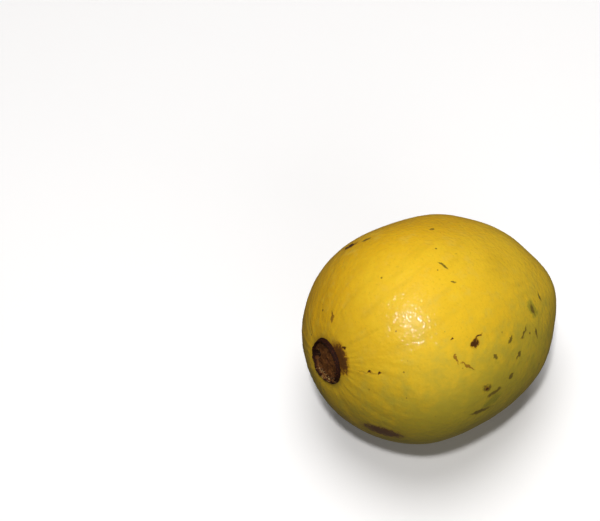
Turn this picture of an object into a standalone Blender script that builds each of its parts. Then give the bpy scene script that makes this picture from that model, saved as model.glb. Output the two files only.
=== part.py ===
"""A ripe guava, lying on its side on the small flat spot that it rests on.

The fruit grew as one piece, so it is one closed solid: a lumpy body that tapers towards the stem,
the dried ring of the calyx round the flower scar at the wide end, and the stem scar in its dimple at
the narrow end.

The constants are in millimetres and degrees. The mesh is in metres, with +Z up, the origin in the
middle of the resting spot, and the calyx end towards -X. A place on the fruit is given by its polar
angle, from 0 at the calyx to 180 at the stem, and by its angle round the axis, from 0 on the +Y side
through 90 on top.
"""
import math

import bmesh
import bpy
from mathutils import Matrix, Vector

MILLIMETRE = 0.001

# The smooth body, before its swellings.
LENGTH = 77.0
WIDTH = 67.5
TAPER = (0.21, 0.07, -0.07)
TILT = 18.0
RESTING_CUT = 0.45

# Broad swellings (+) and flattened places (-): polar angle, angle round the axis, spread, height.
SWELLINGS = (
    (160.0, 115.0, 15.0, 2.0),    # the shoulder above the stem
    (135.0, 60.0, 20.0, 1.5),     # the back of the stem end
    (130.0, 180.0, 20.0, 1.0),    # the front of the stem end
    (105.0, 45.0, 20.0, 1.5),     # the hump of the back
    (75.0, -155.0, 30.0, -1.5),   # the flattened front cheek
    (70.0, 30.0, 30.0, -1.5),     # the flattened back cheek
    (45.0, -140.0, 20.0, -1.0),   # the hollow under the front cheek
    (25.0, -20.0, 20.0, 1.0),     # the shoulder behind the calyx
    (20.0, -80.0, 20.0, 1.0),     # the chin under the calyx
)

# The calyx: a dried oval ring with short lobes round a sunken scar, in a slight furrow of the skin.
# Its radii are those along its longer axis.
CALYX_OVAL = 0.88
CALYX_LONG_AXIS = 30.0
CALYX_SCAR_RADIUS = 5.3
CALYX_CREST_RADIUS = 6.3
CALYX_OUTER_RADIUS = 6.9
CALYX_FURROW_RADIUS = 11.0
CALYX_SCAR_DEPTH = 0.9
CALYX_RING_HEIGHT = 0.7
CALYX_FURROW_DEPTH = 0.35
CALYX_LOBES = 5
CALYX_LOBE_WAVE = 0.25

# The stem end: a shallow dimple, with the round scar where the stem broke off.
STEM_DIMPLE_RADIUS = 7.0
STEM_DIMPLE_DEPTH = 1.3
STEM_SCAR_RADIUS = 2.6
STEM_SCAR_DEPTH = 0.8
STEM_SCAR_WALL = 0.7

# The mesh: rings round the fruit's axis, closer together at the two scars, and oval at the calyx.
SEGMENTS = 60
CALYX_RING_RADII = (1.6, 3.2, 4.6, 5.3, 5.8, 6.3, 6.6, 6.9, 8.0, 9.5)
CALYX_ROUND_RADIUS = 10.5
STEM_RING_RADII = (8.0, 6.4, 5.0, 3.8, 3.0, 2.6, 1.9, 1.0)
MIDDLE_STEPS = 35

SKIN_COLOUR = (0.75, 0.46, 0.03, 1.0)
SKIN_ROUGHNESS = 0.42


def smooth_step(low, high, value):
    """0 below low, 1 above high, and a smooth rise between them."""
    fraction = min(max((value - low) / (high - low), 0.0), 1.0)
    return fraction * fraction * (3.0 - 2.0 * fraction)


def fullness(cosine):
    """How full the body is, for the cosine of the polar angle: wide at the calyx end."""
    return 1.0 + TAPER[0] * cosine + TAPER[1] * cosine**2 + TAPER[2] * cosine**3


def direction(polar, around):
    """The unit vector from the fruit's middle at these two angles, in radians."""
    return Vector((
        -math.cos(polar),
        math.sin(polar) * math.cos(around),
        math.sin(polar) * math.sin(around),
    ))


def swelling_height(towards):
    """The height that all the swellings together add in one direction."""
    height = 0.0
    for polar, around, spread, peak in SWELLINGS:
        centre = direction(math.radians(polar), math.radians(around))
        distance = math.degrees(towards.angle(centre))
        height += peak * math.exp(-(distance / spread)**2)
    return height


def calyx_oval(around):
    """The calyx's radius in this direction, as a share of its radius along its longer axis."""
    from_long_axis = around - math.radians(CALYX_LONG_AXIS)
    return 1.0 / math.hypot(math.cos(from_long_axis), math.sin(from_long_axis) / CALYX_OVAL)


def calyx_relief(distance, around):
    """How far the calyx stands out along the axis at this distance from it."""
    radius = distance / calyx_oval(around)
    rise = smooth_step(CALYX_SCAR_RADIUS, CALYX_CREST_RADIUS, radius)
    fall = smooth_step(CALYX_CREST_RADIUS, CALYX_OUTER_RADIUS, radius)
    furrow_end = smooth_step(CALYX_OUTER_RADIUS, CALYX_FURROW_RADIUS, radius)
    lobes = 1.0 + CALYX_LOBE_WAVE * math.cos(CALYX_LOBES * around)
    ring = CALYX_RING_HEIGHT * lobes * rise * (1.0 - fall)
    scar = CALYX_SCAR_DEPTH * (1.0 - rise)
    furrow = CALYX_FURROW_DEPTH * fall * (1.0 - furrow_end)
    return ring - scar - furrow


def stem_relief(radius):
    """How far the stem end stands out along the axis at this distance from it."""
    dimple = STEM_DIMPLE_DEPTH * math.exp(-(radius / STEM_DIMPLE_RADIUS)**2)
    wall_start = STEM_SCAR_RADIUS - STEM_SCAR_WALL
    scar = STEM_SCAR_DEPTH * (1.0 - smooth_step(wall_start, STEM_SCAR_RADIUS, radius))
    return -dimple - scar


def surface_point(polar, around):
    """The point of the fruit's surface at these two angles, with the axis along X."""
    cosine = math.cos(polar)
    radius = WIDTH / 2.0 * math.sin(polar) * fullness(cosine)
    body = Vector((
        -LENGTH / 2.0 * cosine,
        radius * math.cos(around),
        radius * math.sin(around),
    ))
    towards = body.normalized()
    point = body + towards * swelling_height(towards)
    if cosine > 0.0:
        point.x -= calyx_relief(radius, around)
    else:
        point.x += stem_relief(radius)
    return point


def polar_at_radius(radius, cosine):
    """The angle from the nearer pole at which the body has this radius."""
    return math.asin(radius / (WIDTH / 2.0 * fullness(cosine)))


def ring_angles(around):
    """The polar angles of all the rings in one direction round the axis, from the calyx to the stem."""
    calyx = []
    for radius in CALYX_RING_RADII:
        roundness = smooth_step(CALYX_OUTER_RADIUS, CALYX_ROUND_RADIUS, radius)
        oval = calyx_oval(around) * (1.0 - roundness) + roundness
        calyx.append(polar_at_radius(radius * oval, 1.0))
    stem = [math.pi - polar_at_radius(radius, -1.0) for radius in STEM_RING_RADII]
    step = (stem[0] - calyx[-1]) / MIDDLE_STEPS
    middle = [calyx[-1] + step * index for index in range(1, MIDDLE_STEPS)]
    return calyx + middle + stem


def build_skin(mesh):
    """Fills the mesh with rings of quads, closed by a fan of triangles at each pole."""
    calyx_pole = mesh.verts.new(surface_point(0.0, 0.0))
    stem_pole = mesh.verts.new(surface_point(math.pi, 0.0))
    meridians = []
    for index in range(SEGMENTS):
        around = 2.0 * math.pi * index / SEGMENTS
        meridians.append([mesh.verts.new(surface_point(polar, around)) for polar in ring_angles(around)])
    for here, after in zip(meridians, meridians[1:] + meridians[:1]):
        mesh.faces.new((calyx_pole, here[0], after[0]))
        mesh.faces.new((stem_pole, after[-1], here[-1]))
        for index in range(len(here) - 1):
            mesh.faces.new((here[index], here[index + 1], after[index + 1], after[index]))


def lay_down(mesh):
    """Tilts the fruit as it lies, cuts its resting spot, and puts the spot's middle at the origin."""
    bmesh.ops.scale(mesh, vec=(MILLIMETRE, MILLIMETRE, MILLIMETRE), verts=mesh.verts)
    tilt = Matrix.Rotation(math.radians(TILT), 3, "Y")
    bmesh.ops.rotate(mesh, matrix=tilt, verts=mesh.verts)
    lowest = min(vert.co.z for vert in mesh.verts)
    floor = lowest + RESTING_CUT * MILLIMETRE
    bmesh.ops.translate(mesh, vec=(0.0, 0.0, -floor), verts=mesh.verts)
    everything = mesh.verts[:] + mesh.edges[:] + mesh.faces[:]
    cut = bmesh.ops.bisect_plane(
        mesh, geom=everything, plane_co=(0.0, 0.0, 0.0), plane_no=(0.0, 0.0, 1.0), clear_inner=True)
    rim = [item for item in cut["geom_cut"] if isinstance(item, bmesh.types.BMEdge)]
    bmesh.ops.contextual_create(mesh, geom=rim)
    corners = {vert for edge in rim for vert in edge.verts}
    for vert in corners:
        vert.co.z = 0.0
    middle_x = (min(vert.co.x for vert in corners) + max(vert.co.x for vert in corners)) / 2.0
    middle_y = (min(vert.co.y for vert in corners) + max(vert.co.y for vert in corners)) / 2.0
    bmesh.ops.translate(mesh, vec=(-middle_x, -middle_y, 0.0), verts=mesh.verts)


def skin_material():
    """The waxy yellow skin."""
    material = bpy.data.materials.new("guava_skin")
    material.use_nodes = True
    shader = material.node_tree.nodes["Principled BSDF"]
    shader.inputs["Base Color"].default_value = SKIN_COLOUR
    shader.inputs["Roughness"].default_value = SKIN_ROUGHNESS
    shader.inputs["Metallic"].default_value = 0.0
    material.diffuse_color = SKIN_COLOUR
    return material


def build_guava():
    """Makes the fruit's one object."""
    mesh = bmesh.new()
    build_skin(mesh)
    lay_down(mesh)
    bmesh.ops.triangulate(mesh, faces=mesh.faces[:])
    bmesh.ops.recalc_face_normals(mesh, faces=mesh.faces[:])
    data = bpy.data.meshes.new("guava")
    mesh.to_mesh(data)
    mesh.free()
    data.materials.append(skin_material())
    data.shade_smooth()
    data.set_sharp_from_angle(angle=math.radians(50.0))
    guava = bpy.data.objects.new("guava", data)
    bpy.context.collection.objects.link(guava)


for leftover in list(bpy.data.objects):
    bpy.data.objects.remove(leftover, do_unlink=True)
build_guava()
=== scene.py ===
"""The looks of a ripe yellow guava, lying on its side on a pale floor.

The fruit's skin, its dried calyx and its stem scar are separate meshes that stand for the CAD
fruit. Sizes are in millimetres in the fruit's own frame, with its axis along X, and become metres
when a mesh is laid down in the row frame. A place on the fruit is given by its polar angle, from 0
at the calyx to 180 at the stem, and by its angle round the axis, from 0 on the +Y side through 90
on top.
"""
import math
import random

import bpy
import numpy as np
from mathutils import Matrix, Vector, noise


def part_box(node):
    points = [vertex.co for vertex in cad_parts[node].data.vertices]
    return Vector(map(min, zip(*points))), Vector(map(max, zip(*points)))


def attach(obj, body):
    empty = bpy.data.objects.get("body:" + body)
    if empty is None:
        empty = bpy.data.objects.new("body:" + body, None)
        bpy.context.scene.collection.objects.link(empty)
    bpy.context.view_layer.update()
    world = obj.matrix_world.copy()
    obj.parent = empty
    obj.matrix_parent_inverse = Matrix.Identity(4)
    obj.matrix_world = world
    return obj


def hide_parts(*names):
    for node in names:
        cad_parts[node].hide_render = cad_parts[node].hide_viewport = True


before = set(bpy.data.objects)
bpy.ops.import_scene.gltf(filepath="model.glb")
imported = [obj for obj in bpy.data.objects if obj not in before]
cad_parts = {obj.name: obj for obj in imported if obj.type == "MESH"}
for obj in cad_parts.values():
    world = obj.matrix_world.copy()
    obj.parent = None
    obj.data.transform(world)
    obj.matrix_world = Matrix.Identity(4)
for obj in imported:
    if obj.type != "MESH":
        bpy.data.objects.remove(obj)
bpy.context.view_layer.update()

MILLIMETRE = 0.001

# The fruit's smooth body, as the CAD makes it.
LENGTH = 77.0
WIDTH = 67.5
TAPER = (0.21, 0.07, -0.07)
TILT = 18.0

# Broad swellings (+) and flattened places (-), as in the CAD: polar angle, angle round the axis,
# spread, height.
SWELLINGS = (
    (160.0, 115.0, 15.0, 2.0),    # the shoulder above the stem
    (135.0, 60.0, 20.0, 1.5),     # the back of the stem end
    (130.0, 180.0, 20.0, 1.0),    # the front of the stem end
    (105.0, 45.0, 20.0, 1.5),     # the hump of the back
    (75.0, -155.0, 30.0, -1.5),   # the flattened front cheek
    (70.0, 30.0, 30.0, -1.5),     # the flattened back cheek
    (45.0, -140.0, 20.0, -1.0),   # the hollow under the front cheek
    (25.0, -20.0, 20.0, 1.0),     # the shoulder behind the calyx
    (20.0, -80.0, 20.0, 1.0),     # the chin under the calyx
)

# The calyx, an oval ring of dried lobes. Its radii are those along its longer axis. Angles round
# it are the fruit's own: its lip is thickest at one side, where the near-black of its inner wall is
# partly painted shade, and its teeth show at the other.
CALYX_OVAL = 0.88
CALYX_LONG_AXIS = 30.0
CALYX_CREST_RADIUS = 6.3
CALYX_OUTER_RADIUS = 6.9
CALYX_FURROW_RADIUS = 11.0
CALYX_SCAR_DEPTH = 0.9
CALYX_RING_HEIGHT = 0.7
CALYX_LIP_SIDE = 75.0
CALYX_TEETH_SIDE = -125.0
CALYX_PIT_SIDE = -20.0

# The stem end: a shallow dimple with the round scar where the stem broke off.
STEM_DIMPLE_RADIUS = 7.0
STEM_DIMPLE_DEPTH = 1.3
STEM_SCAR_RADIUS = 2.7

# The camera looks at the fruit from this side and height, and the fruit stands off centre in the
# picture by these shares of the picture's width.
VIEW_AZIMUTH = -32.0
VIEW_ELEVATION = 58.0
VIEW_DISTANCE = 0.45
LENS = 88.8
SENSOR = 36.0
OFF_CENTRE_RIGHT = 0.2235
OFF_CENTRE_UP = -0.110

# The blemishes that stand out: polar angle, angle round the axis, length, width, turn of the length
# from the fruit's meridian, and kind.
BLEMISHES = (
    # the bruise against the calyx, and the dash above it
    (10, 125, 9.0, 6.0, 85, "bruise"),
    (15, 110, 2.2, 0.7, 20, "rot"),
    # the long bruise low on the front
    (40, -150, 11.5, 6.5, -40, "purple"),
    # the tapered scar high on the back, and the fainter one beside it
    (55, 40, 5.0, 2.0, 70, "rot"),
    (60, 50, 3.0, 1.3, 40, "olive"),
    # the drip above the calyx
    (20, 65, 4.0, 0.9, -25, "rust"),
    # the scratch that runs on from the bruise, with two dots on it
    (25, 145, 8.0, 0.6, 0, "faint"),
    (25, 145, 0.9, 0.7, 0, "rot"),
    (30, 145, 0.9, 0.7, 0, "rot"),
    # the marks along the top
    (75, 95, 2.8, 0.8, 60, "olive"),
    (75, 105, 1.4, 0.7, 15, "olive"),
    (85, 70, 1.3, 0.6, -20, "olive"),
    # the dark spot in the middle of the side, its tail, and the speck before it
    (75, 135, 3.0, 2.1, -35, "rot"),
    (77.5, 132.5, 2.2, 0.7, -20, "rot"),
    (65, 130, 0.9, 0.7, -45, "rot"),
    # the hooked scratch under it
    (65, 140, 3.2, 0.6, 70, "rust"),
    (70, 145, 5.0, 0.6, 35, "rust"),
    # the green bruise and the streaks at the stem end
    (115, 130, 5.6, 3.4, 60, "green"),
    (115, 130, 3.2, 1.4, 75, "olive"),
    (125, 125, 2.8, 0.9, 70, "olive"),
    (105, 140, 4.6, 1.0, -40, "olive"),
    (100, 150, 3.0, 1.1, -45, "olive"),
    (115, 145, 3.2, 1.0, 85, "olive"),
    (85, 145, 2.0, 1.4, 35, "olive"),
    (95, 140, 2.4, 1.2, -30, "olive"),
    (95, 160, 1.9, 1.5, 0, "olive"),
    # the dark smudges low on the front
    (80, 160, 3.2, 2.4, 40, "olive"),
    (80, 160, 1.6, 1.1, 80, "rot"),
    (85, 170, 6.0, 3.2, -20, "green"),
    (85, 165, 5.0, 1.8, -20, "olive"),
    (80, 175, 7.5, 1.7, 0, "olive"),
)

HIDDEN_BLEMISHES = 20

# Patches that are still green, and on the front and underside painted shade as well, darker olive
# there: polar angle, angle round the axis, spread, strength.
GREEN_AND_SHADE_PATCHES = (
    (178.0, 0.0, 32.0, 0.8),
    (118.0, 150.0, 30.0, 0.6),
    (85.0, -165.0, 45.0, 0.65),
    (70.0, 165.0, 32.0, 0.45),
    (40.0, -160.0, 28.0, 0.45),
    (100.0, -110.0, 40.0, 0.5),
    (16.0, -60.0, 20.0, 0.35),
)

# Patches that are riper and more orange.
ORANGE_PATCHES = (
    (70.0, 35.0, 40.0, 0.9),
    (100.0, 50.0, 30.0, 0.6),
    (24.0, 20.0, 24.0, 0.9),
    (95.0, -40.0, 40.0, 0.5),
)

# The lamps: azimuth and elevation in degrees, distance and size in metres, and power in watts. The
# glint makes the highlight. The key, the back lamp and the bounce, which stands for light from the
# floor in front, light the colours and aren't mirrored in the wax.
KEY_LIGHT = (-36.0, 70.0, 0.8, 0.06, 2.9)
GLINT_LIGHT = (-57.0, 63.5, 1.0, 0.10, 5.6)
BACK_LIGHT = (150.0, 80.0, 1.2, 0.8, 9.4)
BOUNCE_LIGHT = (-5.0, 10.0, 1.8, 2.1, 15.0)
SURROUND = 0.05
WARM_WHITE = (1.0, 0.985, 0.955)


def smooth_step(low, high, value):
    """0 below low, 1 above high, and a smooth rise between them, for numbers or arrays."""
    fraction = np.clip((value - low) / (high - low), 0.0, 1.0)
    return fraction * fraction * (3.0 - 2.0 * fraction)


# ---------------------------------------------------------------- the fruit's shape

def directions(polar, around):
    """Unit vectors from the fruit's middle at these angles, in radians."""
    return np.stack((
        -np.cos(polar),
        np.sin(polar) * np.cos(around),
        np.sin(polar) * np.sin(around),
    ), axis=-1)


def patches(towards, places):
    """The sum of the round patches at these places, each given by its angles, spread and strength."""
    total = np.zeros(len(towards))
    for polar, around, spread, strength in places:
        centre = directions(math.radians(polar), math.radians(around))
        distance = np.degrees(np.arccos(np.clip(towards @ centre, -1.0, 1.0)))
        total += strength * np.exp(-(distance / spread)**2)
    return total


def fullness(cosine):
    """How full the body is, for the cosine of the polar angle: wide at the calyx end."""
    return 1.0 + TAPER[0] * cosine + TAPER[1] * cosine**2 + TAPER[2] * cosine**3


def body_points(polar, around):
    """Points of the fruit's smooth body at these angles, with the axis along X."""
    cosine = np.cos(polar)
    radius = WIDTH / 2.0 * np.sin(polar) * fullness(cosine)
    body = np.stack((
        -LENGTH / 2.0 * cosine,
        radius * np.cos(around),
        radius * np.sin(around),
    ), axis=-1)
    towards = body / np.linalg.norm(body, axis=-1, keepdims=True)
    return body + towards * patches(towards, SWELLINGS)[:, None]


def polar_at_radius(radius, cosine):
    """The angle from the nearer pole at which the body has this radius."""
    return np.arcsin(radius / (WIDTH / 2.0 * fullness(cosine)))


def calyx_oval(around):
    """The calyx's radius in this direction, as a share of its radius along its longer axis."""
    from_long_axis = around - math.radians(CALYX_LONG_AXIS)
    return 1.0 / np.hypot(np.cos(from_long_axis), np.sin(from_long_axis) / CALYX_OVAL)


def noise_at(points, wavelength, seed, octaves=2):
    """Smooth noise, from about -1 to 1, at points given in millimetres."""
    offset = Vector((seed * 17.3, seed * 5.9, seed * 11.1))
    values = [
        noise.fractal(Vector(point) / wavelength + offset, 1.0, 2.0, octaves)
        for point in points
    ]
    return np.array(values)


def find_place():
    """The transform from the fruit's own frame to the row frame, from the CAD fruit's box."""
    polar, around = np.meshgrid(np.linspace(0.0, math.pi, 181), np.linspace(0.0, 2.0 * math.pi, 361))
    tilt = Matrix.Rotation(math.radians(TILT), 3, "Y")
    smooth = body_points(polar.ravel(), around.ravel()) @ np.array(tilt).T * MILLIMETRE
    low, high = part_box("guava")
    shift = Vector((
        high.x - smooth[:, 0].max(),
        (low.y + high.y - smooth[:, 1].min() - smooth[:, 1].max()) / 2.0,
        high.z - smooth[:, 2].max(),
    ))
    return Matrix.Translation(shift) @ tilt.to_4x4() @ Matrix.Scale(MILLIMETRE, 4)


PLACE = find_place()


def lay_down(points):
    """Points of the fruit's own frame, moved to the row frame and pressed flat by the floor."""
    placed = points @ np.array(PLACE.to_3x3()).T + np.array(PLACE.translation)
    placed[:, 2] = np.maximum(placed[:, 2], 0.0)
    return placed


# ---------------------------------------------------------------- meshes

def mesh_piece(name, points, faces, material):
    """A smooth-shaded piece from points in the row frame, riding on the fruit's one body."""
    data = bpy.data.meshes.new(name)
    data.from_pydata(points.tolist(), [], faces)
    data.materials.append(material)
    data.shade_smooth()
    piece = bpy.data.objects.new(name, data)
    bpy.context.scene.collection.objects.link(piece)
    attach(piece, "root")
    return piece


def paint(piece, name, values):
    """Stores one number for each point of the piece, for its material to read."""
    attribute = piece.data.attributes.new(name, "FLOAT", "POINT")
    attribute.data.foreach_set("value", np.asarray(values, dtype=np.float32))


def ring_grid(rings, segments):
    """A mesh of rings round the fruit's axis: each point's ring and angle, the faces, and the corners.

    Each ring is given by a number, its polar angle or its radius. The corners are those of the UV
    map, and go on past the last segment to 1, so that the map has a clean seam."""
    arounds = np.linspace(0.0, 2.0 * math.pi, segments, endpoint=False)
    ring_of_point, around = np.meshgrid(rings, arounds, indexing="ij")
    faces = []
    corners = []
    for ring in range(len(rings) - 1):
        for index in range(segments):
            following = (index + 1) % segments
            near = ring * segments
            far = near + segments
            faces.append((near + index, far + index, far + following, near + following))
            left = index / segments
            right = (index + 1) / segments
            low = ring / (len(rings) - 1)
            high = (ring + 1) / (len(rings) - 1)
            corners += ((left, low), (left, high), (right, high), (right, low))
    return ring_of_point.ravel(), around.ravel(), faces, corners


def unwrap(piece, corners):
    """Gives the piece its own UV map, one pair for each corner of each face."""
    layer = piece.data.uv_layers.new(name="OFBake")
    layer.data.foreach_set("uv", np.array(corners, dtype=np.float32).ravel())


# ---------------------------------------------------------------- the skin

# The skin's mesh: rings round the fruit's axis. At its two ends they are closer together than on
# average, by the share SKIN_CROWDING.
SKIN_RINGS = 262
SKIN_SEGMENTS = 378
SKIN_CROWDING = 0.25
SKIN_FIRST_POLAR = math.radians(4.0)
SKIN_LAST_POLAR = math.radians(178.0)

# The heights and sizes of the skin's bumps, and how deep it is hollowed under its two scars.
BROAD_HEIGHT = 0.16
BROAD_SIZE = 15.0
DIMPLE_HEIGHT = 0.040
DIMPLE_SIZE = 5.5
PEBBLE_HEIGHT = 0.016
PEBBLE_SIZE = 2.3
FINE_WRINKLES = 84.0
COARSE_WRINKLES = 34.0
CALYX_FURROW_DEPTH = 0.30
UNDER_CALYX_DEPTH = CALYX_SCAR_DEPTH + 0.6
UNDER_STEM_DEPTH = 0.9
STEM_LIP_HEIGHT = 0.22


def wrinkle_field(polar, around, count, run, seed):
    """Noise drawn out along the fruit's meridians: about count ridges round the axis."""
    around = around + 0.10 * np.sin(3.0 * polar + 2.0) + 0.05 * np.sin(5.0 * around + 4.0 * polar)
    turn = count / (2.0 * math.pi)
    points = np.stack((np.cos(around) * turn, np.sin(around) * turn, polar * run), axis=-1)
    return noise_at(points, 1.0, seed)


def skin_relief(body, polar, around):
    """How far the finished skin stands out from the smooth body, and its streaks: the wrinkle noise,
    painted darker where it is low, which near the two ends is painted shade in the wrinkle grooves.
    """
    degrees = np.degrees(polar)
    between_ends = smooth_step(8.0, 24.0, degrees) * (1.0 - smooth_step(160.0, 172.0, degrees))
    broad = BROAD_HEIGHT * noise_at(body, BROAD_SIZE, 1) * between_ends
    dimples = DIMPLE_HEIGHT * noise_at(body, DIMPLE_SIZE, 2) * between_ends
    pebbles = PEBBLE_HEIGHT * noise_at(body, PEBBLE_SIZE, 3)
    fine = wrinkle_field(polar, around, FINE_WRINKLES, 3.4, 4)
    coarse = wrinkle_field(polar, around, COARSE_WRINKLES, 2.2, 5)
    calyx_side = smooth_step(9.0, 16.0, degrees) * (1.0 - smooth_step(34.0, 66.0, degrees))
    stem_side = smooth_step(140.0, 164.0, degrees) * (1.0 - smooth_step(170.0, 176.0, degrees))
    wrinkles = (0.06 * fine + 0.08 * coarse) * calyx_side + (0.05 * fine + 0.10 * coarse) * stem_side
    return broad + dimples + pebbles + wrinkles, 0.6 * fine + 0.7 * coarse


def calyx_seat(distance, around):
    """How far the skin dips along the axis under the calyx and in the furrow round it."""
    radius = distance / calyx_oval(around)
    under = smooth_step(CALYX_OUTER_RADIUS - 1.1, CALYX_OUTER_RADIUS - 0.1, radius)
    furrow_end = smooth_step(CALYX_OUTER_RADIUS, CALYX_FURROW_RADIUS, radius)
    return -UNDER_CALYX_DEPTH * (1.0 - under) - CALYX_FURROW_DEPTH * under * (1.0 - furrow_end)


def stem_seat(distance):
    """How far the skin dips along the axis in the stem's dimple and under its scar."""
    dimple = STEM_DIMPLE_DEPTH * np.exp(-(distance / STEM_DIMPLE_RADIUS)**2)
    under = smooth_step(STEM_SCAR_RADIUS - 0.9, STEM_SCAR_RADIUS - 0.2, distance)
    lip = STEM_LIP_HEIGHT * np.exp(-((distance - STEM_SCAR_RADIUS - 0.5) / 0.6)**2)
    return -dimple - UNDER_STEM_DEPTH * (1.0 - under) + lip


def build_skin(material):
    """The whole skin, from just under the calyx to just under the stem scar."""
    share = np.linspace(0.0, 1.0, SKIN_RINGS)
    share = share - SKIN_CROWDING * np.sin(2.0 * math.pi * share) / (2.0 * math.pi)
    polars = SKIN_FIRST_POLAR + (SKIN_LAST_POLAR - SKIN_FIRST_POLAR) * share
    polar, around, faces, corners = ring_grid(polars, SKIN_SEGMENTS)
    body = body_points(polar, around)
    towards = directions(polar, around)
    relief, streaks_and_groove_shade = skin_relief(body, polar, around)
    distance = np.hypot(body[:, 1], body[:, 2])
    points = body + towards * relief[:, None]
    calyx_half = np.cos(polar) > 0.0
    points[:, 0] -= np.where(calyx_half, calyx_seat(distance, around), 0.0)
    points[:, 0] += np.where(calyx_half, 0.0, stem_seat(distance))
    skin = mesh_piece("skin", lay_down(points), faces, material)
    unwrap(skin, corners)
    paint(skin, "streaks_and_groove_shade", streaks_and_groove_shade)
    paint(skin, "greenness_and_shade", patches(towards, GREEN_AND_SHADE_PATCHES))
    paint(skin, "orangeness", patches(towards, ORANGE_PATCHES))
    paint(skin, "stem_distance", np.where(calyx_half, 100.0, distance))
    paint(skin, "calyx_distance", np.where(calyx_half, distance / calyx_oval(around), 100.0))
    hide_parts("guava")


# ---------------------------------------------------------------- the calyx

CALYX_RINGS = 96
CALYX_SEGMENTS = 320
CALYX_EDGE_RADIUS = 7.3
CALYX_TUCK_DEPTH = 1.6

# How the ring varies round the calyx: the swings in one turn of its swell, ragged edge, teeth and
# fibres.
SWELL_COUNT = 5.0
RAGGED_COUNT = 19.0
TEETH_COUNT = 33.0
FIBRE_COUNT = 46.0

# The heights of the scar's fibres and of the beads between the teeth, and the pit: a round hollow
# centred near the ring's inner foot, this far in from its crest, and painted near-black as shade.
FIBRE_HEIGHT = 0.10
BEAD_HEIGHT = 0.30
PIT_DEPTH = 0.4
PIT_FROM_CREST = 1.0
PIT_OUTER_RADIUS = 1.6
PIT_INNER_RADIUS = 0.8

STAMENS = 46
STAMEN_SIDES = 6
STAMEN_STEPS = 4


def ring_noise(around, count, seed):
    """Noise round the calyx, about count swings in a turn."""
    turn = count / (2.0 * math.pi)
    points = np.stack((np.cos(around) * turn, np.sin(around) * turn, np.zeros_like(around)), axis=-1)
    return noise_at(points, 1.0, seed)


def facing(around, side, narrowness):
    """1 where the angle round the calyx is this side's, falling to 0 away from it."""
    return smooth_step(1.0 - narrowness, 1.0, np.cos(around - math.radians(side)))


def calyx_pit(flat):
    """The share of the pit at points of the calyx seen flat."""
    side = math.radians(CALYX_PIT_SIDE)
    centre = np.array((math.cos(side), math.sin(side), 0.0)) * (CALYX_CREST_RADIUS - PIT_FROM_CREST)
    return smooth_step(PIT_OUTER_RADIUS, PIT_INNER_RADIUS, np.linalg.norm(flat - centre, axis=-1))


def calyx_shape(radius, around):
    """The calyx's height above the smooth body, and the shares to paint: rim, pit and toothed band."""
    flat = np.stack((radius * np.cos(around), radius * np.sin(around), np.zeros_like(radius)), axis=-1)
    swell = ring_noise(around, SWELL_COUNT, 21)
    ragged = ring_noise(around, RAGGED_COUNT, 22)
    lip = facing(around, CALYX_LIP_SIDE, 1.1)
    toothed = facing(around, CALYX_TEETH_SIDE, 0.9)
    teeth = smooth_step(-0.15, 0.35, ring_noise(around, TEETH_COUNT, 23)) * toothed

    crest_radius = CALYX_CREST_RADIUS + 0.16 * swell + 0.14 * ragged - 0.35 * teeth
    inner = smooth_step(crest_radius - 0.55 - 0.35 * lip, crest_radius - 0.05, radius)
    outer = smooth_step(crest_radius + 0.02, crest_radius + 0.55, radius)
    ring_height = CALYX_RING_HEIGHT * (1.0 + 0.30 * swell + 0.30 * lip - 0.45 * toothed + 0.8 * teeth)
    roughness = 0.20 * ragged + 0.12 * noise_at(flat, 0.5, 24)
    crest = inner * (1.0 - outer) * (ring_height + roughness)

    pit = calyx_pit(flat)
    floor = -CALYX_SCAR_DEPTH * (1.0 - inner) - PIT_DEPTH * pit
    fibres = FIBRE_HEIGHT * ring_noise(around + 0.12 * np.sin(2.0 * radius), FIBRE_COUNT, 25)
    fibres = fibres * smooth_step(0.8, 2.0, radius)
    scar = -0.35 * np.exp(-(radius / 0.55)**2) + 0.20 * np.exp(-((radius - 1.0) / 0.35)**2)
    lumps = 0.16 * noise_at(flat, 1.4, 26) + 0.07 * noise_at(flat, 0.45, 27)
    bead_band = smooth_step(3.9, 4.6, radius) * (1.0 - inner) * toothed
    beads = BEAD_HEIGHT * smooth_step(0.0, 0.5, noise_at(flat, 0.55, 28)) * bead_band
    tuck = -CALYX_TUCK_DEPTH * smooth_step(CALYX_OUTER_RADIUS - 0.1, CALYX_EDGE_RADIUS, radius)

    height = crest + floor + tuck + (fibres + scar + lumps) * (1.0 - inner) + beads
    # The rim share is painted near-black. This is the dried ring's own dark colour, and on the lip
    # side, where it reaches further down the inner wall, painted shade as well.
    rim = inner * (1.0 - 0.75 * toothed * (1.0 - teeth))
    band = toothed * smooth_step(4.4, 5.0, radius)
    return height, rim, pit, band


def build_calyx(material):
    """The dried calyx: a ragged ring of worn lobes round the fibrous scar of the flower."""
    share = np.linspace(0.004, 1.0, CALYX_RINGS)
    reach = CALYX_EDGE_RADIUS * share
    ring, around, faces, corners = ring_grid(reach, CALYX_SEGMENTS)
    faces.append(tuple(range(CALYX_SEGMENTS)))
    corners += [(index / CALYX_SEGMENTS, 0.0) for index in range(CALYX_SEGMENTS)]
    distance = ring * calyx_oval(around)
    points = body_points(polar_at_radius(distance, 1.0), around)
    height, rim, pit, band = calyx_shape(ring, around)
    points[:, 0] -= height
    calyx = mesh_piece("calyx", lay_down(points), faces, material)
    unwrap(calyx, corners)
    paint(calyx, "rim", rim)
    paint(calyx, "pit", pit)
    paint(calyx, "band", band)


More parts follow.
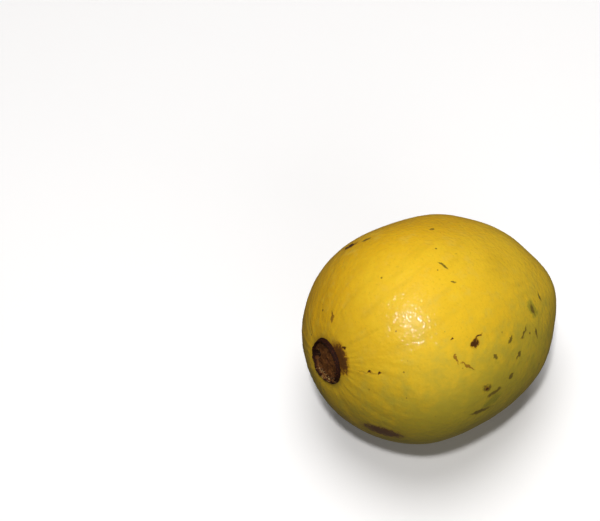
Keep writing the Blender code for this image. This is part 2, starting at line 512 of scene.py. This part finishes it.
def stamen_points(root, lean, length, thickness):
    """The points of one bent, tapering stub, ring by ring from its root."""
    points = []
    for step in range(STAMEN_STEPS + 1):
        share = step / STAMEN_STEPS
        middle = root + Vector((-length * share * 1.6, 0.0, 0.0)) + lean * length * share * share
        radius = thickness * (1.0 - 0.65 * share)
        for side in range(STAMEN_SIDES):
            angle = 2.0 * math.pi * side / STAMEN_SIDES
            offset = Vector((0.0, math.cos(angle), math.sin(angle))) * radius
            points.append(tuple(middle + offset))
    return points


def stamen_faces(start):
    """The faces of one closed stub whose first point has this number."""
    faces = []
    for step in range(STAMEN_STEPS):
        near = start + step * STAMEN_SIDES
        far = near + STAMEN_SIDES
        for side in range(STAMEN_SIDES):
            following = (side + 1) % STAMEN_SIDES
            faces.append((near + side, near + following, far + following, far + side))
    last = start + STAMEN_STEPS * STAMEN_SIDES
    faces.append(tuple(start + side for side in range(STAMEN_SIDES)))
    faces.append(tuple(last + side for side in reversed(range(STAMEN_SIDES))))
    return faces


def build_stamens(material):
    """The dried stubs of the stamens, bent cones that stand in the calyx's inner band."""
    draws = random.Random(11)
    points = []
    faces = []
    for index in range(STAMENS):
        around = 2.0 * math.pi * (index + draws.uniform(-0.4, 0.4)) / STAMENS
        ring = draws.uniform(4.4, 5.5)
        length = draws.uniform(0.35, 0.95)
        thickness = draws.uniform(0.09, 0.17)
        lean = Vector((0.0, draws.uniform(-0.7, 0.7), draws.uniform(-0.7, 0.7)))
        polar = polar_at_radius(ring * calyx_oval(around), 1.0)
        root = Vector(body_points(np.array([polar]), np.array([around]))[0])
        root.x += CALYX_SCAR_DEPTH + 0.25
        faces += stamen_faces(len(points))
        points += stamen_points(root, lean, length, thickness)
    mesh_piece("stamens", lay_down(np.array(points)), faces, material)


# ---------------------------------------------------------------- the stem scar

STEM_SCAR_RINGS = 50
STEM_SCAR_SEGMENTS = 160
STEM_SCAR_EDGE = STEM_SCAR_RADIUS + 0.25
STEM_SCAR_DEPTH = 0.55
STEM_SCAR_CRACKS = 15.0


def build_stem_scar(material):
    """The corky scar where the stem broke off: a rim, cracked rings and the stub of the core."""
    segments = STEM_SCAR_SEGMENTS
    reach = STEM_SCAR_EDGE * np.linspace(0.006, 1.0, STEM_SCAR_RINGS)
    radius, around, faces, corners = ring_grid(reach, segments)
    faces = [face[::-1] for face in faces]
    corners = [corner for face in range(len(faces)) for corner in corners[4 * face:4 * face + 4][::-1]]
    faces.append(tuple(reversed(range(segments))))
    corners += [(index / segments, 0.0) for index in reversed(range(segments))]
    flat = np.stack((radius * np.cos(around), radius * np.sin(around), np.zeros_like(radius)), axis=-1)
    rim = np.exp(-((radius - 2.15) / 0.30)**2)
    stub = smooth_step(0.95, 0.65, radius)
    groove = np.exp(-((radius - 1.25) / 0.22)**2)
    rough = noise_at(flat, 0.5, 41, 3)
    cracks = ring_noise(around, STEM_SCAR_CRACKS, 42)
    tuck = UNDER_STEM_DEPTH * smooth_step(STEM_SCAR_RADIUS - 0.25, STEM_SCAR_EDGE, radius)
    height = 0.42 * rim * (1.0 + 0.5 * cracks) + 0.28 * stub - 0.18 * groove + 0.10 * rough
    height -= STEM_SCAR_DEPTH + tuck
    points = body_points(math.pi - polar_at_radius(radius, -1.0), around)
    points[:, 0] += height - STEM_DIMPLE_DEPTH * np.exp(-(radius / STEM_DIMPLE_RADIUS)**2)
    scar = mesh_piece("stem_scar", lay_down(points), faces, material)
    unwrap(scar, corners)
    paint(scar, "rim", rim)
    paint(scar, "stub", stub)


# ---------------------------------------------------------------- material tools

def add_node(tree, kind, inputs=(), **settings):
    """A shader node with its settings, and each input either linked or set to a constant."""
    node = tree.nodes.new(kind)
    for name, value in settings.items():
        setattr(node, name, value)
    for name, value in dict(inputs).items():
        if isinstance(value, bpy.types.NodeSocket):
            tree.links.new(value, node.inputs[name])
        else:
            node.inputs[name].default_value = value
    return node


def calculate(tree, operation, first, second=0.0):
    """The result of one sum on two numbers."""
    return add_node(tree, "ShaderNodeMath", {0: first, 1: second}, operation=operation).outputs[0]


def ease(tree, value, low, high, start=0.0, end=1.0):
    """A smooth rise from start to end as the value goes from low to high."""
    inputs = {"Value": value, "From Min": low, "From Max": high, "To Min": start, "To Max": end}
    node = add_node(tree, "ShaderNodeMapRange", inputs, interpolation_type="SMOOTHSTEP")
    return node.outputs["Result"]


def mix_colour(tree, factor, first, second):
    """The first colour where the factor is 0, and the second where it is 1."""
    node = add_node(tree, "ShaderNodeMix", {0: factor, 6: first, 7: second}, data_type="RGBA")
    return node.outputs[2]


def read(tree, name):
    """A number painted on the piece's points."""
    return add_node(tree, "ShaderNodeAttribute", attribute_name=name).outputs["Fac"]


def noise_node(tree, place, wavelength, detail=2.0, roughness=0.5, output="Fac"):
    """Noise with this wavelength in millimetres."""
    inputs = {"Vector": place, "Scale": 1.0 / wavelength, "Detail": detail, "Roughness": roughness}
    return add_node(tree, "ShaderNodeTexNoise", inputs).outputs[output]


def place_in_millimetres(tree):
    """Where a point of the piece is, in millimetres of the row frame."""
    coordinates = add_node(tree, "ShaderNodeTexCoord").outputs["Object"]
    inputs = {0: coordinates, 3: 1.0 / MILLIMETRE}
    return add_node(tree, "ShaderNodeVectorMath", inputs, operation="SCALE").outputs[0]


def new_material(name):
    """An empty node material, with its tree and its Principled shader."""
    material = bpy.data.materials.new(name)
    material.use_nodes = True
    return material, material.node_tree, material.node_tree.nodes["Principled BSDF"]


def set_inputs(shader, **values):
    """Sets constants on the shader's own sockets. Underscores stand for spaces."""
    for name, value in values.items():
        shader.inputs[name.replace("_", " ")].default_value = value


def bump(tree, height, strength, distance, normal=None):
    """A bumped normal from a height, with its full height in metres."""
    inputs = {"Height": height, "Strength": strength, "Distance": distance}
    if normal is not None:
        inputs["Normal"] = normal
    return add_node(tree, "ShaderNodeBump", inputs).outputs["Normal"]


# ---------------------------------------------------------------- blemishes

def blemish_group():
    """A node group that adds one round or long blemish to a field of them.

    The field is 1 in the middle of a blemish and falls to 0 at its edge."""
    tree = bpy.data.node_groups.new("blemish", "ShaderNodeTree")
    for name in ("Place", "Centre", "Along", "Across", "Outward"):
        tree.interface.new_socket(name, in_out="INPUT", socket_type="NodeSocketVector")
    tree.interface.new_socket("Field", in_out="INPUT", socket_type="NodeSocketFloat")
    tree.interface.new_socket("Field", in_out="OUTPUT", socket_type="NodeSocketFloat")
    given = tree.nodes.new("NodeGroupInput").outputs
    inputs = {0: given["Place"], 1: given["Centre"]}
    offset = add_node(tree, "ShaderNodeVectorMath", inputs, operation="SUBTRACT").outputs[0]
    combined = add_node(tree, "ShaderNodeCombineXYZ")
    for index, name in enumerate(("Along", "Across", "Outward")):
        inputs = {0: offset, 1: given[name]}
        share = add_node(tree, "ShaderNodeVectorMath", inputs, operation="DOT_PRODUCT")
        tree.links.new(share.outputs["Value"], combined.inputs[index])
    length = add_node(tree, "ShaderNodeVectorMath", {0: combined.outputs[0]}, operation="LENGTH")
    here = calculate(tree, "SUBTRACT", 1.0, length.outputs["Value"])
    result = calculate(tree, "MAXIMUM", here, given["Field"])
    add_node(tree, "NodeGroupOutput", {"Field": result})
    return tree


def surface_frame(polar, around):
    """The place on the body at these angles in degrees, and its three directions, in the row frame.

    The directions run along the meridian towards the stem, round the axis, and outward."""
    polar = math.radians(polar)
    around = math.radians(around)
    step = 0.01
    polars = np.array((polar, polar + step, polar - step, polar, polar))
    arounds = np.array((around, around, around, around + step, around - step))
    points = [PLACE @ Vector(point) for point in body_points(polars, arounds)]
    meridian = (points[1] - points[2]).normalized()
    outward = meridian.cross(points[3] - points[4]).normalized()
    if outward.dot(points[0] - PLACE.translation) < 0.0:
        outward.negate()
    parallel = outward.cross(meridian).normalized()
    if parallel.dot(points[3] - points[4]) < 0.0:
        parallel.negate()
    return points[0], meridian, parallel, outward


def blemish_field(tree, group, place, marks):
    """The field of all these marks, each widened to take in its halo: polar, around, length,
    width, turn."""
    field = 0.0
    for polar, around, length, width, turn in marks:
        centre, meridian, parallel, outward = surface_frame(polar, around)
        turn = math.radians(turn)
        along = meridian * math.cos(turn) + parallel * math.sin(turn)
        across = parallel * math.cos(turn) - meridian * math.sin(turn)
        inputs = {
            "Place": place,
            "Centre": centre / MILLIMETRE,
            "Along": along * (2.0 / BLEMISH_SPREAD / length),
            "Across": across * (2.0 / BLEMISH_SPREAD / width),
            "Outward": outward * 0.3,
            "Field": field,
        }
        field = add_node(tree, "ShaderNodeGroup", node_tree=group)
        for name, value in inputs.items():
            if isinstance(value, bpy.types.NodeSocket):
                tree.links.new(value, field.inputs[name])
            else:
                field.inputs[name].default_value = value
        field = field.outputs["Field"]
    return field


def hidden_blemishes():
    """Seeded blemishes for the sides that the listed ones leave bare."""
    draws = random.Random(5)
    marks = []
    while len(marks) < HIDDEN_BLEMISHES:
        polar = math.degrees(math.acos(draws.uniform(-0.96, 0.94)))
        around = draws.uniform(-180.0, 180.0)
        share = draws.random()
        turn = draws.uniform(-90.0, 90.0)
        kind = draws.choice(("olive", "olive", "faint", "rust", "rot", "green"))
        if surface_frame(polar, around)[3].dot(VIEW_DIRECTION) < 0.1:
            length = 1.4 + 4.0 * share * share
            marks.append((polar, around, length, 0.5 + 0.3 * length * share, turn, kind))
    return marks


def direction_from(azimuth, elevation):
    """The direction from the fruit to something at this azimuth and elevation, in degrees."""
    azimuth = math.radians(azimuth)
    elevation = math.radians(elevation)
    flat = math.cos(elevation)
    return Vector((math.sin(azimuth) * flat, -math.cos(azimuth) * flat, math.sin(elevation)))


VIEW_DIRECTION = direction_from(VIEW_AZIMUTH, VIEW_ELEVATION)


# ---------------------------------------------------------------- materials

YELLOW = (0.80, 0.515, 0.022, 1.0)
ORANGE = (0.74, 0.405, 0.006, 1.0)
PALE = (0.86, 0.60, 0.075, 1.0)
GREEN_AND_SHADE = (0.46, 0.360, 0.030, 1.0)
PORE = (0.46, 0.29, 0.012, 1.0)
CALYX_STAIN = (0.30, 0.17, 0.010, 1.0)
STEM_STAIN = (0.20, 0.17, 0.020, 1.0)

# The sizes of the skin's colour noise and of its bumps, in millimetres, and the bumps' full heights,
# in metres, in the skin and in the wax over it.
BROAD_PATCH = 17.0
MOTTLE = 4.2
GRAIN = 0.8
WAX_PEBBLE = 1.5
WAX_PORE = 0.5
SKIN_PEBBLE_BUMP = 0.00010
SKIN_PORE_BUMP = 0.00004
WAX_PEBBLE_BUMP = 0.00055
WAX_PORE_BUMP = 0.00006


def skin_colour(tree, place, mottle):
    """Yellow skin, mottled and streaked, more orange or green in places, stained at its two ends; the
    green and the streaks also hold painted shade.
    """
    broad = noise_node(tree, place, BROAD_PATCH, 3.0, 0.55)
    grain = noise_node(tree, place, GRAIN, 2.0, 0.6)
    unevenness = calculate(tree, "MULTIPLY", calculate(tree, "SUBTRACT", mottle, 0.5), 1.3)
    orangeness = calculate(tree, "ADD", read(tree, "orangeness"), unevenness)
    greenness_and_shade = calculate(tree, "ADD", read(tree, "greenness_and_shade"), unevenness)
    colour = mix_colour(tree, ease(tree, broad, 0.38, 0.70, 0.0, 0.3), YELLOW, ORANGE)
    colour = mix_colour(tree, ease(tree, orangeness, 0.0, 1.0, 0.0, 0.9), colour, ORANGE)
    colour = mix_colour(tree, ease(tree, mottle, 0.48, 0.80, 0.0, 0.5), colour, PALE)
    # Darker where the wrinkle noise is low: painted shade in the wrinkle grooves near the two ends,
    # plain streaks elsewhere.
    colour = mix_colour(tree, ease(tree, read(tree, "streaks_and_groove_shade"), -0.1, -0.8, 0.0, 0.20), colour, PORE)
    # The green patches are darker than the yellow: partly the skin's own green, partly painted shade
    # on the front and underside.
    colour = mix_colour(tree, ease(tree, greenness_and_shade, 0.0, 1.1, 0.0, 0.95), colour, GREEN_AND_SHADE)
    colour = mix_colour(tree, ease(tree, grain, 0.50, 0.90, 0.0, 0.40), colour, PORE)
    stain = ease(tree, read(tree, "calyx_distance"), 9.0, 6.4, 0.0, 0.7)
    colour = mix_colour(tree, stain, colour, CALYX_STAIN)
    stain = ease(tree, read(tree, "stem_distance"), 6.0, 2.4, 0.0, 0.8)
    return mix_colour(tree, stain, colour, STEM_STAIN)


def skin_material():
    """Waxy skin with its blemishes. Its wax is more pebbled than the skin under it."""
    material, tree, shader = new_material("guava_skin")
    place = place_in_millimetres(tree)
    mottle = noise_node(tree, place, MOTTLE, 4.0, 0.6)
    colour = add_dots(tree, place, skin_colour(tree, place, mottle))
    colour = add_blemishes(tree, place, colour)
    tree.links.new(colour, shader.inputs["Base Color"])
    tree.links.new(ease(tree, mottle, 0.3, 0.8, 0.38, 0.50), shader.inputs["Roughness"])
    pebbles = noise_node(tree, place, WAX_PEBBLE, 1.0, 0.5)
    pores = noise_node(tree, place, WAX_PORE, 1.0, 0.5)
    skin_normal = bump(tree, pores, 0.5, SKIN_PORE_BUMP, bump(tree, pebbles, 1.0, SKIN_PEBBLE_BUMP))
    wax_normal = bump(tree, pores, 0.6, WAX_PORE_BUMP, bump(tree, pebbles, 1.0, WAX_PEBBLE_BUMP))
    tree.links.new(skin_normal, shader.inputs["Normal"])
    tree.links.new(wax_normal, shader.inputs["Coat Normal"])
    set_inputs(shader, IOR=1.34, Coat_Weight=0.40, Coat_Roughness=0.08, Subsurface_Weight=0.06)
    set_inputs(shader, Subsurface_Radius=(0.003, 0.0016, 0.0005), Subsurface_Scale=1.0)
    return material


# How each kind of blemish looks, in painting order: its halo's colour and strength, and its core's
# colour, strength and softness.
BLEMISH_LOOKS = {
    "green": ((0.36, 0.32, 0.022, 1.0), 0.45, (0.25, 0.22, 0.022, 1.0), 0.55, 0.6),
    "faint": ((0.50, 0.30, 0.015, 1.0), 0.20, (0.36, 0.19, 0.012, 1.0), 0.50, 0.6),
    "rust": ((0.52, 0.27, 0.010, 1.0), 0.30, (0.26, 0.11, 0.008, 1.0), 0.85, 0.5),
    "bruise": ((0.46, 0.19, 0.006, 1.0), 0.85, (0.095, 0.032, 0.007, 1.0), 0.92, 0.6),
    "purple": ((0.30, 0.14, 0.020, 1.0), 0.60, (0.14, 0.045, 0.022, 1.0), 0.85, 0.6),
    "olive": ((0.38, 0.27, 0.016, 1.0), 0.40, (0.14, 0.090, 0.012, 1.0), 0.85, 0.6),
    "rot": ((0.48, 0.20, 0.008, 1.0), 0.75, (0.050, 0.014, 0.004, 1.0), 0.96, 0.4),
}

# How much wider than a blemish its halo is, and the value that the field has at the blemish's edge.
BLEMISH_SPREAD = 1.5
BLEMISH_EDGE = 1.0 - 1.0 / BLEMISH_SPREAD

# The dots: their spacing and largest radius in millimetres, and the share of places that have one.
DOT_SPACING = 3.8
DOT_RADIUS = 0.12
DOT_SHARE = 0.7
DOT = (0.10, 0.045, 0.008, 1.0)


def add_dots(tree, place, colour):
    """Paints small dots at random places, each of its own size and darkness."""
    inputs = {"Vector": place, "Scale": 1.0 / DOT_SPACING}
    cells = add_node(tree, "ShaderNodeTexVoronoi", inputs)
    draws = add_node(tree, "ShaderNodeSeparateColor", {0: cells.outputs["Color"]}).outputs
    present = calculate(tree, "LESS_THAN", draws[0], DOT_SHARE)
    radius = ease(tree, draws[1], 0.0, 1.0, 0.5 * DOT_RADIUS, DOT_RADIUS)
    reach = calculate(tree, "DIVIDE", cells.outputs["Distance"], radius)
    nearness = calculate(tree, "SUBTRACT", 1.0, reach)
    strength = ease(tree, draws[2], 0.2, 1.0, 0.25, 0.95)
    factor = calculate(tree, "MULTIPLY", ease(tree, nearness, 0.0, 0.5), strength)
    return mix_colour(tree, calculate(tree, "MULTIPLY", factor, present), colour, DOT)


def add_blemishes(tree, place, colour):
    """Paints all the blemishes, kind by kind and with ragged edges, over the skin's colour."""
    group = blemish_group()
    wobble = noise_node(tree, place, 1.6, 2.0, 0.5, "Color")
    inputs = {0: wobble, 1: (0.5, 0.5, 0.5)}
    wobble = add_node(tree, "ShaderNodeVectorMath", inputs, operation="SUBTRACT").outputs[0]
    inputs = {0: wobble, 1: (2.0, 2.0, 2.0), 2: place}
    warped = add_node(tree, "ShaderNodeVectorMath", inputs, operation="MULTIPLY_ADD").outputs[0]
    ragged = ease(tree, noise_node(tree, place, 1.0, 4.0, 0.7), 0.25, 0.75, 0.45, 1.5)
    everything = list(BLEMISHES) + hidden_blemishes()
    for kind, (halo, halo_strength, core, core_strength, softness) in BLEMISH_LOOKS.items():
        marks = [mark[:5] for mark in everything if mark[5] == kind]
        field = calculate(tree, "MULTIPLY", blemish_field(tree, group, warped, marks), ragged)
        around_it = ease(tree, field, 0.0, BLEMISH_EDGE + 0.1, 0.0, halo_strength)
        colour = mix_colour(tree, around_it, colour, halo)
        low = BLEMISH_EDGE * (1.0 - softness)
        high = BLEMISH_EDGE * (1.0 + softness)
        in_it = ease(tree, field, low, high, 0.0, core_strength)
        colour = mix_colour(tree, in_it, colour, core)
    return colour


DARK_BROWN = (0.070, 0.022, 0.006, 1.0)
WARM_BROWN = (0.15, 0.055, 0.013, 1.0)
LIGHT_BROWN = (0.21, 0.085, 0.022, 1.0)
RED_BROWN = (0.085, 0.022, 0.008, 1.0)
NEAR_BLACK = (0.016, 0.005, 0.003, 1.0)
CREAM = (0.52, 0.40, 0.17, 1.0)


def calyx_material():
    """Dead brown tissue: a warm fibrous scar, cream flecks between the teeth, a near-black ring that
    is partly painted shade on its lip side, and a near-black pit of painted shade.
    """
    material, tree, shader = new_material("guava_calyx")
    place = place_in_millimetres(tree)
    coarse = noise_node(tree, place, 1.6, 4.0, 0.6)
    fine = noise_node(tree, place, 0.35, 3.0, 0.65)
    colour = mix_colour(tree, ease(tree, coarse, 0.38, 0.62), DARK_BROWN, WARM_BROWN)
    colour = mix_colour(tree, ease(tree, fine, 0.45, 0.75, 0.0, 0.6), colour, LIGHT_BROWN)
    in_band = ease(tree, read(tree, "band"), 0.2, 0.7)
    fleck = calculate(tree, "MULTIPLY", ease(tree, fine, 0.54, 0.66, 0.0, 0.8), in_band)
    colour = mix_colour(tree, fleck, colour, CREAM)
    rim_colour = mix_colour(tree, ease(tree, fine, 0.50, 0.68, 0.0, 0.7), NEAR_BLACK, RED_BROWN)
    unevenness = calculate(tree, "MULTIPLY", calculate(tree, "SUBTRACT", coarse, 0.5), 0.7)
    rim = calculate(tree, "ADD", read(tree, "rim"), unevenness)
    # Near-black on the ring: partly its own colour, partly painted shade on the inner wall of the lip
    # side.
    colour = mix_colour(tree, ease(tree, rim, 0.25, 0.6), colour, rim_colour)
    # The pit: painted shade, near-black in its shallow hollow.
    colour = mix_colour(tree, ease(tree, read(tree, "pit"), 0.2, 0.7, 0.0, 0.95), colour, NEAR_BLACK)
    tree.links.new(colour, shader.inputs["Base Color"])
    tree.links.new(ease(tree, fine, 0.3, 0.7, 0.6, 0.9), shader.inputs["Roughness"])
    tree.links.new(bump(tree, fine, 0.9, 0.00012), shader.inputs["Normal"])
    set_inputs(shader, Specular_IOR_Level=0.12)
    return material


STAMEN_DARK = (0.030, 0.011, 0.005, 1.0)
STAMEN_LIGHT = (0.16, 0.065, 0.020, 1.0)


def stamen_material():
    """Dried stubs, near-black with browner patches."""
    material, tree, shader = new_material("guava_stamens")
    place = place_in_millimetres(tree)
    fine = noise_node(tree, place, 0.5, 2.0, 0.6)
    colour = mix_colour(tree, ease(tree, fine, 0.4, 0.65), STAMEN_DARK, STAMEN_LIGHT)
    tree.links.new(colour, shader.inputs["Base Color"])
    tree.links.new(ease(tree, fine, 0.3, 0.7, 0.5, 0.8), shader.inputs["Roughness"])
    return material


CORK_DARK = (0.10, 0.060, 0.025, 1.0)
CORK_LIGHT = (0.25, 0.17, 0.085, 1.0)
CORK_RIM = (0.045, 0.024, 0.010, 1.0)
CORK_STUB = (0.07, 0.040, 0.018, 1.0)
CORK_FLECK = (0.34, 0.25, 0.14, 1.0)


def stem_scar_material():
    """Grey-brown cork with a dark rim and a darker stub."""
    material, tree, shader = new_material("guava_stem_scar")
    place = place_in_millimetres(tree)
    coarse = noise_node(tree, place, 0.9, 4.0, 0.65)
    fine = noise_node(tree, place, 0.25, 3.0, 0.6)
    colour = mix_colour(tree, ease(tree, coarse, 0.35, 0.65), CORK_DARK, CORK_LIGHT)
    colour = mix_colour(tree, ease(tree, read(tree, "rim"), 0.3, 0.9, 0.0, 0.75), colour, CORK_RIM)
    colour = mix_colour(tree, ease(tree, read(tree, "stub"), 0.2, 0.9, 0.0, 0.55), colour, CORK_STUB)
    colour = mix_colour(tree, ease(tree, fine, 0.55, 0.75, 0.0, 0.4), colour, CORK_FLECK)
    tree.links.new(colour, shader.inputs["Base Color"])
    tree.links.new(ease(tree, fine, 0.3, 0.7, 0.65, 0.9), shader.inputs["Roughness"])
    tree.links.new(bump(tree, fine, 0.8, 0.0001), shader.inputs["Normal"])
    return material


# ---------------------------------------------------------------- stage

FLOOR_FLAT_RADIUS = 1.0
FLOOR_EDGE_RADIUS = 3.0
FLOOR_EDGE_HEIGHT = 2.2
FLOOR_GAP = 0.0002
FLOOR_SEGMENTS = 96
FLOOR_STEPS = 24
FLOOR_COLOUR = (0.98, 0.98, 1.0, 1.0)


def floor_material():
    """Matt white."""
    material, _, shader = new_material("pale_floor")
    set_inputs(shader, Base_Color=FLOOR_COLOUR, Roughness=0.9, Specular_IOR_Level=0.1)
    return material


def build_floor(material):
    """A pale floor whose far edges sweep up into a backdrop. It casts no light on the fruit."""
    segments = FLOOR_SEGMENTS
    steps = FLOOR_STEPS
    points = []
    faces = [tuple(range(segments))]
    for step in range(steps + 1):
        share = step / steps
        radius = FLOOR_FLAT_RADIUS + (FLOOR_EDGE_RADIUS - FLOOR_FLAT_RADIUS) * share
        height = FLOOR_EDGE_HEIGHT * share**3 - FLOOR_GAP
        for index in range(segments):
            angle = 2.0 * math.pi * index / segments
            points.append((radius * math.cos(angle), radius * math.sin(angle), height))
    for step in range(steps):
        near = step * segments
        far = near + segments
        for index in range(segments):
            following = (index + 1) % segments
            faces.append((near + index, far + index, far + following, near + following))
    data = bpy.data.meshes.new("floor")
    data.from_pydata(points, [], faces)
    data.shade_smooth()
    data.materials.append(material)
    floor = bpy.data.objects.new("floor", data)
    bpy.context.scene.collection.objects.link(floor)
    floor.visible_diffuse = False
    floor.visible_glossy = False


def look_at(position, target):
    """The rotation of a camera or light at this position that faces the target, held level."""
    return (target - position).to_track_quat("-Z", "Y")


def add_camera(target):
    """The camera, turned so that the fruit stands off centre in the picture."""
    data = bpy.data.cameras.new("camera")
    data.lens = LENS
    data.sensor_width = SENSOR
    camera = bpy.data.objects.new("camera", data)
    camera.location = target + VIEW_DIRECTION * VIEW_DISTANCE
    towards = Vector((OFF_CENTRE_RIGHT, OFF_CENTRE_UP, -LENS / SENSOR)).normalized()
    turn = towards.rotation_difference(Vector((0.0, 0.0, -1.0)))
    camera.rotation_mode = "QUATERNION"
    camera.rotation_quaternion = look_at(camera.location, target) @ turn
    bpy.context.scene.collection.objects.link(camera)
    bpy.context.scene.camera = camera


def add_light(name, target, place, colour=(1.0, 1.0, 1.0)):
    """A round soft lamp that faces the target, from this azimuth, elevation and distance."""
    azimuth, elevation, distance, size, power = place
    data = bpy.data.lights.new(name, "AREA")
    data.shape = "DISK"
    data.size = size
    data.energy = power
    data.color = colour
    light = bpy.data.objects.new(name, data)
    light.location = target + direction_from(azimuth, elevation) * distance
    light.rotation_mode = "QUATERNION"
    light.rotation_quaternion = look_at(light.location, target)
    light.visible_camera = False
    bpy.context.scene.collection.objects.link(light)
    return light


def light_the_stage(target):
    """The lamps for the colours and the one for the highlight, in a dim even surround."""
    add_light("key", target, KEY_LIGHT, WARM_WHITE).visible_glossy = False
    add_light("back", target, BACK_LIGHT, WARM_WHITE).visible_glossy = False
    add_light("glint", target, GLINT_LIGHT).visible_diffuse = False
    add_light("bounce", target, BOUNCE_LIGHT).visible_glossy = False
    world = bpy.data.worlds.new("surround")
    world.use_nodes = True
    background = world.node_tree.nodes["Background"]
    background.inputs["Color"].default_value = (1.0, 1.0, 1.0, 1.0)
    background.inputs["Strength"].default_value = SURROUND
    bpy.context.scene.world = world
    bpy.context.scene.view_settings.view_transform = "Standard"


build_skin(skin_material())
build_calyx(calyx_material())
build_stamens(stamen_material())
build_stem_scar(stem_scar_material())
build_floor(floor_material())
middle = PLACE.translation.copy()
add_camera(middle)
light_the_stage(middle)
